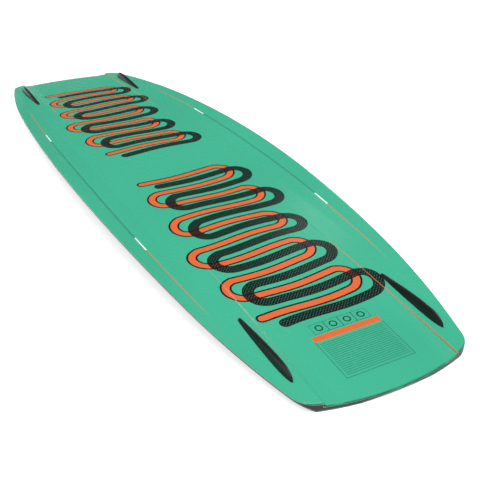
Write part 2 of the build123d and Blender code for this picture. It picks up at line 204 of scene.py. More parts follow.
class Outline:
    """The plan shape: a long side arc, a tighter arc, a tip arc and a rounded corner."""

    def __init__(self, sizes):
        self.half_length = sizes.length / 2
        self.half_middle = sizes.width / 2
        self.shoulder = Vector(
            (self.half_middle - sizes.shoulder_draw_in, self.half_length - sizes.shoulder_back)
        )
        corner = Vector((self.half_middle - sizes.corner_draw_in, self.half_length - sizes.corner_back))
        self.corner_x = corner.x
        self.side_radius = arc_radius(sizes.shoulder_draw_in, self.shoulder.y)
        self.side_centre_x = self.half_middle - self.side_radius
        normal = (self.shoulder - Vector((self.side_centre_x, 0))).normalized()
        chord = corner - self.shoulder
        self.ease_radius = -chord.length_squared / (2 * chord.dot(normal))
        self.ease_centre = self.shoulder - normal * self.ease_radius
        self.tip_radius = arc_radius(sizes.corner_back, corner.x)
        self.tip_centre = Vector((0, self.half_length - self.tip_radius))
        self.round_radius = sizes.corner_radius
        self.round_centre = self._round_centre()
        to_rail = (self.round_centre - self.ease_centre).normalized()
        to_tip = (self.round_centre - self.tip_centre).normalized()
        self.rail_end = self.ease_centre + to_rail * self.ease_radius
        self.tip_end = self.tip_centre + to_tip * self.tip_radius
        self.corner_middle = self.round_centre + (to_rail + to_tip).normalized() * self.round_radius

    def _round_centre(self):
        """Centre of the corner's rounding, inside both the side arc and the tip arc."""
        side, tip = self.ease_radius - self.round_radius, self.tip_radius - self.round_radius
        across = self.tip_centre - self.ease_centre
        along = (side**2 - tip**2 + across.length_squared) / (2 * across.length)
        aside = math.sqrt(side**2 - along**2)
        unit = across.normalized()
        return self.ease_centre + unit * along + Vector((-unit.y, unit.x)) * aside

    def half_width(self, y):
        """Half width at places along the board."""
        y = np.abs(y)
        side = self.side_centre_x + np.sqrt(self.side_radius**2 - y**2)
        ease = self.ease_centre.x + np.sqrt(self.ease_radius**2 - (y - self.ease_centre.y) ** 2)
        bulge = np.clip(self.round_radius**2 - (y - self.round_centre.y) ** 2, 0, None)
        rounded = self.round_centre.x + np.sqrt(bulge)
        return np.where(y <= self.shoulder.y, side, np.where(y <= self.rail_end.y, ease, rounded))

    def tip_y(self, x):
        """How far out the tip's edge is at places across the board."""
        x = np.abs(x)
        arc = self.tip_centre.y + np.sqrt(self.tip_radius**2 - x**2)
        bulge = np.clip(self.round_radius**2 - (x - self.round_centre.x) ** 2, 0, None)
        rounded = self.round_centre.y + np.sqrt(bulge)
        return np.where(x <= self.tip_end.x, arc, rounded)


class BaseShape:
    """Height of the base at any place on the plan."""

    RAIL_ROOM = 0.002       # least room between the inner crease and the rail
    CREASE_ROOM = 0.001     # least room between the outer crease and its neighbours
    WALL_OVERLAP = 0.0003   # how far past the step line the step's wall starts

    def __init__(self, sizes, outline):
        self.sizes = sizes
        self.outline = outline
        self.top = SHEET_HIGH.z - sizes.rail_lift
        self.radius = arc_radius(sizes.rocker, outline.half_length)
        self.step_x = outline.corner_x - sizes.step_in
        self.wall_x = self.step_x + self.WALL_OVERLAP
        start_y = outline.half_length - sizes.channel_run
        start = Vector((start_y, float(self.rocker_z(start_y)) + sizes.channel_start_lift))
        tip = Vector((outline.half_length, self.top - sizes.rocker - sizes.channel_depth))
        down = Vector((-start_y, self.top - self.radius - start.y)).normalized()
        dip = tip - start
        self.floor_start = start_y
        self.floor_radius = dip.length_squared / (2 * dip.dot(down))
        self.floor_centre = start + down * self.floor_radius

    def rocker_z(self, y):
        """Height of the base's flat middle, left out of the tip channels."""
        return self.top - self.radius + np.sqrt(self.radius**2 - np.asarray(y) ** 2)

    def laminate_lift(self, x):
        """Lift of the laminate under the sheet over its flat middle."""
        sizes, half = self.sizes, self.outline.half_middle
        places = [half - sizes.inner_crease_in, half - sizes.outer_crease_in, half]
        return np.interp(x, places, [0, sizes.outer_crease_lift, sizes.rail_lift])

    def crease_x(self, y):
        """Where the outer crease runs."""
        sizes, bend = self.sizes, 1.5
        share = np.clip(np.abs(y) / sizes.crease_end, 0, 1) ** bend
        gap = sizes.crease_gap_middle + (sizes.crease_gap_end - sizes.crease_gap_middle) * share
        return self.outline.half_width(y) - gap

    def channel(self, y):
        """Depth of the tip channels."""
        y = np.abs(y)
        inside = np.clip(y - self.floor_centre.x, None, self.floor_radius)
        floor = self.floor_centre.y + np.sqrt(self.floor_radius**2 - inside**2)
        return np.where(y > self.floor_start, np.clip(self.rocker_z(y) - floor, 0, None), 0.0)

    def lines_across(self, y):
        """Where the rail, the inner crease and the outer crease are, at places along the board."""
        rail = self.outline.half_width(np.clip(np.abs(y), 0, self.outline.corner_middle.y))
        inner = np.minimum(self.outline.half_middle - self.sizes.inner_crease_in, rail - self.RAIL_ROOM)
        crease = np.clip(self.crease_x(y), inner + self.CREASE_ROOM, rail - self.CREASE_ROOM)
        return rail, inner, crease

    def groove(self, x, y, crease):
        """Depth of the groove along the outer crease, shallower towards the tips."""
        fade_start, fade_run, least = 0.30, 0.18, 0.35
        end_lead, end_run = 0.06, 0.08
        profile = np.exp(-(((x - crease) / self.sizes.groove_width) ** 2))
        fade = 1 - smooth((np.abs(y) - fade_start) / fade_run)
        end = 1 - smooth((np.abs(y) - self.sizes.crease_end + end_lead) / end_run)
        return self.sizes.groove_depth * profile * (least + (1 - least) * fade) * end

    def height(self, x, y):
        """Height of the base's outer face."""
        sizes = self.sizes
        x = np.abs(x)
        rail, inner, crease = self.lines_across(y)
        crease_lift = self.laminate_lift(crease)
        rail_lift = self.laminate_lift(rail)
        inner_part = crease_lift * np.clip((x - inner) / (crease - inner), 0, 1)
        outer_part = (rail_lift - crease_lift) * np.clip((x - crease) / (rail - crease), 0, 1)
        depth = self.channel(y)
        wall = smooth((self.wall_x - x) / sizes.step_wall)
        roll_share = smooth((x - (self.step_x - sizes.floor_roll_width)) / sizes.floor_roll_width)
        roll = sizes.floor_roll * roll_share * wall * depth / sizes.channel_depth
        return self.rocker_z(y) + inner_part + outer_part - depth * wall + roll - self.groove(x, y, crease)


# ---- Mesh helpers ----
def linked(name, data):
    """A new object in the scene."""
    made = bpy.data.objects.new(name, data)
    bpy.context.scene.collection.objects.link(made)
    return made


def mesh_piece(name, points, faces, shade_smooth=True):
    """A new object at the origin from points and faces."""
    mesh = bpy.data.meshes.new(name)
    mesh.from_pydata([tuple(p) for p in points], [], faces)
    mesh.validate()
    mesh.update()
    if shade_smooth:
        mesh.polygons.foreach_set("use_smooth", [True] * len(mesh.polygons))
    return linked(name, mesh)


def store(piece, name, values):
    """Keep one number for each point on the mesh, for its material to read."""
    layer = piece.data.attributes.new(name, "FLOAT", "POINT")
    layer.data.foreach_set("value", np.asarray(values, np.float32))


def dress(piece, material):
    """Give a piece or a CAD node this one material."""
    if piece.data.materials:
        for index in range(len(piece.data.materials)):
            piece.data.materials[index] = material
    else:
        piece.data.materials.append(material)


def grid_faces(rows, columns, first=0, flip=False):
    """Quads of a grid of points laid out row by row."""
    faces = []
    for row in range(rows - 1):
        for column in range(columns - 1):
            a = first + row * columns + column
            quad = (a, a + 1, a + columns + 1, a + columns)
            faces.append(quad[::-1] if flip else quad)
    return faces


# ---- Node helper ----
class Nodes:
    """Short calls that add shader nodes and link them."""

    def __init__(self, name):
        self.material = bpy.data.materials.new(name)
        self.material.use_nodes = True
        self.tree = self.material.node_tree
        self.shader = self.tree.nodes["Principled BSDF"]
        self.column = 0

    def add(self, kind, **settings):
        node = self.tree.nodes.new(kind)
        self.column += 1
        node.location = (-200 * (1 + self.column % 9), -180 * (self.column // 9))
        for key, value in settings.items():
            setattr(node, key, value)
        return node

    def feed(self, socket, value):
        """Link a socket, or set its number or colour."""
        if isinstance(value, bpy.types.NodeSocket):
            self.tree.links.new(value, socket)
        elif socket.type == "RGBA":
            socket.default_value = (*value, 1.0)
        else:
            socket.default_value = value

    def math(self, operation, a, b=0.0):
        node = self.add("ShaderNodeMath", operation=operation)
        self.feed(node.inputs[0], a)
        self.feed(node.inputs[1], b)
        return node.outputs[0]

    def under(self, value, edge, softness=0.0002):
        """1 where value is under edge, with a soft step."""
        return self.spread(value, 1.0, 0.0, edge - softness, edge + softness)

    def both(self, *masks):
        """1 where every mask is 1."""
        result = masks[0]
        for mask in masks[1:]:
            result = self.math("MULTIPLY", result, mask)
        return result

    def mix(self, factor, a, b):
        node = self.add("ShaderNodeMix", data_type="RGBA")
        self.feed(node.inputs["Factor"], factor)
        self.feed(node.inputs["A"], a)
        self.feed(node.inputs["B"], b)
        return node.outputs["Result"]

    def place(self):
        """The Object coordinates and their X, Y and Z."""
        coordinates = self.add("ShaderNodeTexCoord")
        split = self.add("ShaderNodeSeparateXYZ")
        self.tree.links.new(coordinates.outputs["Object"], split.inputs[0])
        return coordinates.outputs["Object"], split.outputs["X"], split.outputs["Y"], split.outputs["Z"]

    def attribute(self, name):
        return self.add("ShaderNodeAttribute", attribute_name=name).outputs["Fac"]

    def noise(self, place, scale, detail=2.0, roughness=0.5):
        node = self.add("ShaderNodeTexNoise")
        self.feed(node.inputs["Vector"], place)
        node.inputs["Scale"].default_value = scale
        node.inputs["Detail"].default_value = detail
        node.inputs["Roughness"].default_value = roughness
        return node.outputs["Fac"]

    def pebbles(self, place, scale):
        node = self.add("ShaderNodeTexVoronoi", feature="SMOOTH_F1")
        self.feed(node.inputs["Vector"], place)
        node.inputs["Scale"].default_value = scale
        node.inputs["Smoothness"].default_value = 0.6
        return node.outputs["Distance"]

    def spread(self, value, low, high, from_low=0.0, from_high=1.0):
        """A value moved from one range to another, and kept inside it."""
        node = self.add("ShaderNodeMapRange")
        self.feed(node.inputs["Value"], value)
        node.inputs["From Min"].default_value = from_low
        node.inputs["From Max"].default_value = from_high
        node.inputs["To Min"].default_value = low
        node.inputs["To Max"].default_value = high
        return node.outputs["Result"]

    def bump(self, *layers):
        """Bumps from (height, strength, depth in metres) layers, linked into the shader."""
        normal = None
        for height, strength, depth in layers:
            node = self.add("ShaderNodeBump")
            node.inputs["Strength"].default_value = strength
            node.inputs["Distance"].default_value = depth
            self.feed(node.inputs["Height"], height)
            if normal is not None:
                self.tree.links.new(normal, node.inputs["Normal"])
            normal = node.outputs["Normal"]
        self.tree.links.new(normal, self.shader.inputs["Normal"])

    def set(self, **values):
        """Feed the shader's sockets by name, and hand back the material."""
        for name, value in values.items():
            self.feed(self.shader.inputs[name.replace("_", " ")], value)
        return self.material


# ---- Base skin ----
def serpentine(start_y, runs, pitch, reach, middle_x):
    """One open line that runs to and fro across the board, with round bends and uneven reach."""
    swing, swing_rate, swing_start = 0.14, 2.3, 0.7
    ripple, ripple_across, ripple_along, slant = 0.0035, 31, 17, 0.05
    run_points, bend_points = 9, 15
    points = []
    for run in range(runs):
        towards = 1 if run % 2 == 0 else -1
        share_now = 1 - swing + swing * math.sin(swing_rate * run + swing_start)
        turn_x = middle_x + towards * reach * share_now
        last_x = points[-1][0] if points else middle_x - towards * reach
        y = start_y + run * pitch
        points += [(last_x + (turn_x - last_x) * share, y) for share in np.linspace(0, 1, run_points)]
        if run < runs - 1:
            points += [
                (turn_x + towards * pitch / 2 * math.sin(angle), y + pitch / 2 * (1 - math.cos(angle)))
                for angle in np.linspace(0, math.pi, bend_points)[1:-1]
            ]
    line = np.array(points)
    wander = ripple * np.sin(line[:, 0] * ripple_across + line[:, 1] * ripple_along)
    line[:, 1] += wander + slant * (line[:, 0] - middle_x)
    return line


def wave_strokes():
    """Centre lines of the printed strokes: two serpentines, one for each half of the board."""
    near = serpentine(start_y=-0.503, runs=10, pitch=0.0505, reach=0.082, middle_x=-0.014)
    far = serpentine(start_y=0.118, runs=10, pitch=0.0485, reach=0.076, middle_x=-0.016)
    return [near, far]


def distance_to_lines(points, lines):
    """Distance from each point on the plan to the nearest of the lines."""
    far_off, margin = 1.0, 0.06
    best = np.full(len(points), far_off)
    for line in lines:
        low, high = line[:, 1].min() - margin, line[:, 1].max() + margin
        near = np.flatnonzero((points[:, 1] > low) & (points[:, 1] < high))
        for start, end in zip(line[:-1], line[1:]):
            run = end - start
            share = np.clip(((points[near] - start) @ run) / (run @ run), 0, 1)
            gap = np.linalg.norm(points[near] - start - share[:, None] * run, axis=1)
            best[near] = np.minimum(best[near], gap)
    return best


def skin_columns(shape, y_row, fine):
    """Places across half the board where one row of the skin has points."""
    sizes = shape.sizes
    rail, inner, crease = (float(line) for line in shape.lines_across(y_row))
    roll_x = shape.step_x - sizes.floor_roll_width
    wall_low = shape.wall_x - sizes.step_wall
    if not fine:
        return np.array([0, roll_x, wall_low, shape.wall_x, inner, crease, rail])
    groove = 2 * sizes.groove_width
    rail_room, groove_room, crease_room = 0.0006, 0.0004, 0.0003
    after = min(crease + groove, rail - rail_room)
    before = max(min(crease - groove, after - groove_room), inner + crease_room)
    knots = [0, roll_x, wall_low, shape.wall_x, inner, before, after, rail]
    splits = [24, 7, 5, 10, 5, 8, 9]
    parts = [np.linspace(a, b, n, endpoint=False) for a, b, n in zip(knots[:-1], knots[1:], splits)]
    return np.append(np.concatenate(parts), rail)


def skin_points(shape, y_rows, fine, drop):
    """Grid of points on the base's outer face, or drop below it."""
    outline = shape.outline
    blend_run = 0.12
    corner = outline.corner_middle
    rows = []
    for y_row in y_rows:
        half = skin_columns(shape, y_row, fine)
        x = np.concatenate([-half[:0:-1], half])
        share = np.clip((abs(y_row) - (corner.y - blend_run)) / blend_run, 0, 1) ** 2
        bulge = outline.tip_y(np.minimum(np.abs(x), corner.x)) - corner.y
        y = y_row + math.copysign(1, y_row) * np.clip(bulge, 0, None) * share
        rows.append(np.stack([x, y, shape.height(x, y) - drop], axis=1))
    return np.stack(rows)


def edge_faces(top, low):
    """Faces that join the grids of the outer and the inner face along the rails and the tips."""
    rows, fine, coarse = len(top), top.shape[1], low.shape[1]
    first = rows * fine
    faces = []
    for row in range(rows - 1):
        a, b = row * fine, first + row * coarse
        faces.append((a, a + fine, b + coarse, b))
        a, b = a + fine - 1, b + coarse - 1
        faces.append((a, b, b + coarse, a + fine))
    top_x, low_x = top[0, :, 0], low[0, :, 0]
    last, last_low = (rows - 1) * fine, first + (rows - 1) * coarse
    for column in range(coarse - 1):
        left = int(np.argmin(np.abs(top_x - low_x[column])))
        right = int(np.argmin(np.abs(top_x - low_x[column + 1])))
        run = list(range(left, right + 1))
        faces.append((*run, first + column + 1, first + column)[::-1])
        faces.append((*[last + index for index in run], last_low + column + 1, last_low + column))
    return faces


def build_base_skin(shape, graphic):
    """The base sheet as one closed shell: fine outer face, plain inner face, and an edge."""
    end_y = shape.outline.corner_middle.y
    y_rows = np.linspace(-end_y, end_y, 2 * round(end_y / shape.sizes.row_step) + 1)
    top = skin_points(shape, y_rows, True, 0.0)
    low = skin_points(shape, y_rows, False, shape.sizes.sheet)
    rows, fine, coarse = len(y_rows), top.shape[1], low.shape[1]
    faces = grid_faces(rows, fine) + grid_faces(rows, coarse, rows * fine, flip=True)
    points = np.concatenate([top.reshape(-1, 3), low.reshape(-1, 3)])
    skin = mesh_piece("base_skin", points, faces + edge_faces(top, low))
    plan = points[:, :2]
    lines = wave_strokes()
    offset = np.array([graphic.shadow_x, graphic.shadow_y])
    store(skin, "stroke", distance_to_lines(plan, lines))
    store(skin, "shadow", distance_to_lines(plan, [line + offset for line in lines]))
    store(skin, "crease", np.abs(plan[:, 0]) - shape.crease_x(plan[:, 1]))
    store(skin, "step", np.abs(plan[:, 0]) - shape.step_x)
    return skin


def printed_strokes(n, x, y, colour_now, graphic):
    """Outlined strokes, with woven shadows over them."""
    dot_level, dot_strength, selvedge = 0.66, 0.48, 0.0018
    black = graphic.black
    stroke, shadow = n.attribute("stroke"), n.attribute("shadow")
    rim = n.under(stroke, graphic.stroke_half + graphic.outline)
    fill = n.under(stroke, graphic.stroke_half)
    colour_now = n.mix(rim, colour_now, black)
    colour_now = n.mix(fill, colour_now, graphic.orange)
    turn = 2 * math.pi / graphic.weave
    across = n.math("COSINE", n.math("MULTIPLY", x, turn))
    along = n.math("COSINE", n.math("MULTIPLY", y, turn))
    dots = n.math("GREATER_THAN", n.math("MULTIPLY", across, along), dot_level)
    woven = n.under(shadow, graphic.shadow_half)
    inside = n.under(shadow, graphic.shadow_half - selvedge)
    gap = n.math("MULTIPLY", n.both(dots, inside), dot_strength)
    return n.mix(n.both(woven, n.math("SUBTRACT", 1.0, gap)), colour_now, black)


def rail_lines(n, far_y, colour_now, graphic):
    """Painted shade along the crease groove, pinstripe and white marks on the crease, and a pinstripe on the
    channel step.
    """
    mark_middle, mark_half, mark_width = 0.25, 0.0215, 0.0012
    # Here groove_depth is how strongly the painted shade darkens the crease groove, and groove_shade is the
    # share of the green that the painted shade keeps.
    groove_width, groove_depth, groove_shade = 0.0014, 0.55, 0.30
    stripe_width, step_width = 0.0006, 0.0004
    stripe_fades, step_starts = (0.40, 0.475), (0.34, 0.40)
    end_soft, groove_soft, stripe_soft, line_soft = 0.0006, 0.0012, 0.0004, 0.0003
    mark_gap, step_in = 0.0005, 0.0006
    orange = graphic.orange
    off_crease = n.math("ABSOLUTE", n.attribute("crease"))
    middle_part = n.under(far_y, mark_middle - mark_half, end_soft)
    groove = n.both(n.under(off_crease, groove_width, groove_soft), middle_part)
    # Painted shade: the colour along the crease groove is darkened to stand in for the shade that falls in
    # it.
    painted_groove_shade = tuple(groove_shade * part for part in graphic.green)
    colour_now = n.mix(n.math("MULTIPLY", groove, groove_depth), colour_now, painted_groove_shade)
    fading = n.spread(far_y, 1.0, 0.0, *stripe_fades)
    past_mark = n.math("GREATER_THAN", far_y, mark_middle + mark_half + mark_gap)
    stripe = n.both(n.under(off_crease, stripe_width, stripe_soft), past_mark, fading)
    colour_now = n.mix(stripe, colour_now, orange)
    from_mark = n.math("ABSOLUTE", n.math("SUBTRACT", far_y, mark_middle))
    mark = n.both(n.under(from_mark, mark_half, line_soft), n.under(off_crease, mark_width, line_soft))
    colour_now = n.mix(mark, colour_now, graphic.white)
    off_step = n.math("ABSOLUTE", n.math("ADD", n.attribute("step"), step_in))
    step_line = n.both(
        n.under(off_step, step_width, line_soft), n.spread(far_y, 0.0, 1.0, *step_starts)
    )
    return n.mix(step_line, colour_now, orange)


def base_print(graphic):
    """Printed base: gloss film over green, with strokes, woven shadows, lines, marks and a care panel, and
    painted shade along the crease groove.
    """
    deeper_share, fine_share = 0.93, 0.25
    beside, beside_soft, coarse_ends = -0.022, 0.003, (0.44, 0.54)
    n = Nodes("base_print")
    place, x, y, _ = n.place()
    far_y = n.math("ABSOLUTE", y)
    tone = n.noise(place, scale=3.0, detail=3.0)
    green = graphic.green
    deeper = tuple(deeper_share * part for part in green)
    colour_now = n.mix(n.spread(tone, 0.0, 1.0, 0.35, 0.65), green, deeper)
    colour_now = printed_strokes(n, x, y, colour_now, graphic)
    colour_now = rail_lines(n, far_y, colour_now, graphic)
    colour_now = care_panel(n, x, y, colour_now, graphic)
    grain = n.pebbles(place, scale=420.0)
    ripple = n.noise(place, scale=160.0, detail=1.0)
    scuff = n.noise(place, scale=28.0, detail=6.0, roughness=0.7)
    beside_step = n.math("SUBTRACT", 1.0, n.under(n.attribute("step"), beside, beside_soft))
    coarse = n.both(beside_step, n.spread(far_y, 0.0, 1.0, *coarse_ends))
    pebbled = n.both(grain, n.spread(coarse, fine_share, 1.0))
    n.bump((ripple, 0.5, 0.00016), (pebbled, 0.6, 0.00050))
    return n.set(
        Base_Color=colour_now, Roughness=n.spread(scuff, 0.22, 0.30, 0.3, 0.7), Specular_IOR_Level=0.26,
    )


def slab(n, value, low, high):
    """1 where a value lies between low and high, with soft ends."""
    middle, half = (low + high) / 2, (high - low) / 2
    return n.under(n.math("ABSOLUTE", n.math("SUBTRACT", value, middle)), half)


def care_panel(n, x, y, colour_now, graphic):
    """A ruled panel with no words: a frame of plain lines under a bar, and a strip of four rings."""
    left, right, top, bar, foot = -0.055, 0.060, -0.570, -0.581, -0.657
    frame_width, margin, bar_gap = 0.0007, 0.004, 0.003
    ruling, ruling_share, ruling_strength = 0.0038, 0.12, 0.75
    ink, orange = graphic.panel_ink, graphic.orange
    across = slab(n, x, left, right)
    inside = n.both(across, slab(n, y, foot, top))
    hollow = n.both(
        slab(n, x, left + frame_width, right - frame_width), slab(n, y, foot + frame_width, top - frame_width)
    )
    colour_now = n.mix(n.both(inside, n.math("SUBTRACT", 1.0, hollow)), colour_now, ink)
    colour_now = n.mix(n.both(across, slab(n, y, bar, top)), colour_now, orange)
    rows = n.math("FRACT", n.math("DIVIDE", n.math("SUBTRACT", bar, y), ruling))
    ruled = n.math("LESS_THAN", n.math("ABSOLUTE", n.math("SUBTRACT", rows, 0.5)), ruling_share)
    body = n.both(slab(n, x, left + margin, right - margin), slab(n, y, foot + margin, bar - bar_gap))
    colour_now = n.mix(n.math("MULTIPLY", n.both(ruled, body), ruling_strength), colour_now, ink)
    return ring_strip(n, x, y, colour_now, ink)


def ring_strip(n, x, y, colour_now, ink):
    """The panel's strip: four framed cells with a ring in each."""
    left, right, low, high, cells = -0.045, 0.052, -0.567, -0.546, 4
    cell_line, edge_line, ring_radius, ring_half = 0.022, 0.0006, 0.0052, 0.0011
    cell = (right - left) / cells
    strip = n.both(slab(n, x, left, right), slab(n, y, low, high))
    cell_x = n.math("FRACT", n.math("DIVIDE", n.math("SUBTRACT", x, left), cell))
    from_edge = n.math("SUBTRACT", 0.5, n.math("ABSOLUTE", n.math("SUBTRACT", cell_x, 0.5)))
    frame_line = n.math(
        "MAXIMUM",
        n.math("LESS_THAN", from_edge, cell_line),
        n.math("SUBTRACT", 1.0, slab(n, y, low + edge_line, high - edge_line)),
    )
    colour_now = n.mix(n.both(strip, frame_line), colour_now, ink)
    spot_x = n.math("MULTIPLY", n.math("SUBTRACT", cell_x, 0.5), cell)
    spot_y = n.math("SUBTRACT", y, (low + high) / 2)
    reach = n.math("SQRT", n.math("ADD", n.math("POWER", spot_x, 2.0), n.math("POWER", spot_y, 2.0)))
    ring = n.under(n.math("ABSOLUTE", n.math("SUBTRACT", reach, ring_radius)), ring_half)
    return n.mix(n.both(strip, ring), colour_now, ink)


# ---- Fins ----
def fin_share(share, peak, start, least, rise_power, fall_power):
    """Share of a fin's full width or height along it: a blunt start, a peak and a round outer end."""
    if share < peak:
        swell = math.sin(0.5 * math.pi * share / peak) ** rise_power
        return least * start + (1 - least) * swell
    return math.sqrt(max(1 - ((share - peak) / (1 - peak)) ** fall_power, 0))


def build_fin(end, side, fins, shape):
    """One moulded fin: thin inner end, full outer end, and a rounded ridge."""
    stations, ring, sink = 72, 28, 0.0001
    wide_powers, tall_powers = (0.60, 2.4), (1.15, 2.2)
    low, high = (Vector(corner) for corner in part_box(f"fin_{end}_{side}"))
    middle_x = (low.x + high.x) / 2
    inner_y, outer_y = (low.y, high.y) if SIGN[end] > 0 else (high.y, low.y)
    angle = np.linspace(0, math.pi, ring)
    across = np.sign(np.cos(angle)) * np.abs(np.cos(angle)) ** fins.squareness
    upward = np.abs(np.sin(angle)) ** fins.squareness
    points = []
    for step in range(1, stations):
        share = 0.5 - 0.5 * math.cos(math.pi * step / stations)
        y = inner_y + (outer_y - inner_y) * share
        start = math.sqrt(1 - (1 - min(share / fins.blunt, 1)) ** 2)
        wide = fin_share(share, fins.widest, start, fins.end_width, *wide_powers)
        tall = fin_share(share, fins.highest, start, fins.end_height, *tall_powers)
        foot = float(shape.rocker_z(y)) - sink
        for a, u in zip(across, upward):
            lean = 1 - fins.lean * u
            points.append((middle_x + fins.foot / 2 * wide * a * lean, y, foot + fins.height * tall * u))
    faces = []
    for step in range(stations - 2):
        for index in range(ring):
            a = step * ring + index
            b = step * ring + (index + 1) % ring
            faces.append((a, b, b + ring, a + ring))
    for y, first in ((inner_y, 0), (outer_y, (stations - 2) * ring)):
        pole = len(points)
        points.append((middle_x, y, float(shape.rocker_z(y))))
        for index in range(ring):
            face = (pole, first + (index + 1) % ring, first + index)
            faces.append(face if first == 0 else face[::-1])
    if outer_y > inner_y:
        faces = [face[::-1] for face in faces]
    return mesh_piece(f"moulded_fin_{end}_{side}", points, faces)


def moulded_nylon():
    """Black satin moulding with fine grain and a painted highlight on its ridges."""
    n = Nodes("moulded_nylon")
    place, _, _, _ = n.place()
    cloud = n.noise(place, scale=45.0, detail=4.0)
    speck = n.noise(place, scale=1400.0, detail=2.0)
    # Painted highlight: the pointy ridges are made paler in the colour, standing in for the light that
    # catches them.
    ridge_pointiness = n.add("ShaderNodeNewGeometry").outputs["Pointiness"]
    painted_ridge_highlight = n.spread(ridge_pointiness, 0.0, 1.0, 0.50, 0.62)
    tone = n.mix(n.spread(cloud, 0.0, 1.0, 0.3, 0.7), (0.011, 0.011, 0.011), (0.019, 0.018, 0.018))
    tone = n.mix(n.math("MULTIPLY", painted_ridge_highlight, 0.5), tone, (0.045, 0.047, 0.046))
    n.bump((speck, 0.3, 0.00004), (cloud, 0.12, 0.0002))
    return n.set(Base_Color=tone, Roughness=n.spread(cloud, 0.26, 0.36, 0.3, 0.7), Specular_IOR_Level=0.38)


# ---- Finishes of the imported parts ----
def textured_film():
    """Deck film: satin black with a pebbled grain and light rubbing."""
    n = Nodes("textured_film")
    place, _, _, _ = n.place()
    grain = n.pebbles(place, scale=650.0)
    cloud = n.noise(place, scale=9.0, detail=5.0, roughness=0.6)
    tone = n.mix(n.spread(cloud, 0.0, 1.0, 0.35, 0.7), (0.012, 0.013, 0.014), (0.022, 0.023, 0.025))
    n.bump((grain, 0.6, 0.00018), (cloud, 0.1, 0.0004))
    return n.set(Base_Color=tone, Roughness=n.spread(cloud, 0.42, 0.60, 0.3, 0.7), Specular_IOR_Level=0.42)


def cast_urethane():
    """Rail: black cast urethane, faintly mottled."""
    n = Nodes("cast_urethane")
    place, _, _, _ = n.place()
    cloud = n.noise(place, scale=60.0, detail=4.0)
    fine = n.noise(place, scale=900.0)
    tone = n.mix(cloud, (0.008, 0.009, 0.009), (0.016, 0.017, 0.017))
    n.bump((fine, 0.25, 0.00006), (cloud, 0.15, 0.0003))
    return n.set(Base_Color=tone, Roughness=n.spread(cloud, 0.36, 0.52), Specular_IOR_Level=0.45)


def woven_glass(name, light, dark):
    """Glass cloth in resin: a plain weave seen through a clear surface."""
    n = Nodes(name)
    place, x, y, _ = n.place()
    thread_pitch = 0.0016
    turn = 2 * math.pi / thread_pitch
    warp = n.math("SINE", n.math("MULTIPLY", x, turn))
    weft = n.math("SINE", n.math("MULTIPLY", y, turn))
    weave = n.spread(n.math("MULTIPLY", warp, weft), 0.0, 1.0, -1.0, 1.0)
    cloud = n.noise(place, scale=30.0, detail=3.0)
    tone = n.mix(n.math("MULTIPLY", weave, cloud), light, dark)
    n.bump((weave, 0.3, 0.00008), (cloud, 0.1, 0.0003))
    return n.set(Base_Color=tone, Roughness=n.spread(cloud, 0.18, 0.34), Specular_IOR_Level=0.5)


def closed_cell_foam():
    """Core: fine closed cells."""
    n = Nodes("closed_cell_foam")
    place, _, _, _ = n.place()
    cells = n.pebbles(place, scale=1600.0)
    cloud = n.noise(place, scale=25.0, detail=3.0)
    tone = n.mix(n.math("MULTIPLY", cells, cloud), (0.72, 0.66, 0.50), (0.52, 0.45, 0.30))
    n.bump((cells, 0.7, 0.0003))
    return n.set(Base_Color=tone, Roughness=n.spread(cloud, 0.82, 0.95))


def turned_metal(name, tone_low, tone_high, rough_low, rough_high):
    """Machined metal with turning marks and slight tarnish."""
    n = Nodes(name)
    place, _, _, z = n.place()
    mark_pitch = 0.00035
    rings = n.math("SINE", n.math("MULTIPLY", z, 2 * math.pi / mark_pitch))
    cloud = n.noise(place, scale=240.0, detail=4.0)
    tone = n.mix(cloud, tone_low, tone_high)
    n.bump((rings, 0.12, 0.00003), (cloud, 0.12, 0.00008))
    return n.set(Base_Color=tone, Metallic=1.0, Roughness=n.spread(cloud, rough_low, rough_high))


def moulded_ferrule():
    """Ferrules: off-black nylon."""
    n = Nodes("moulded_ferrule")
    place, _, _, _ = n.place()
    cloud = n.noise(place, scale=300.0, detail=3.0)
    tone = n.mix(cloud, (0.020, 0.020, 0.021), (0.038, 0.038, 0.040))
    n.bump((cloud, 0.2, 0.00008))
    return n.set(Base_Color=tone, Roughness=n.spread(cloud, 0.40, 0.58))


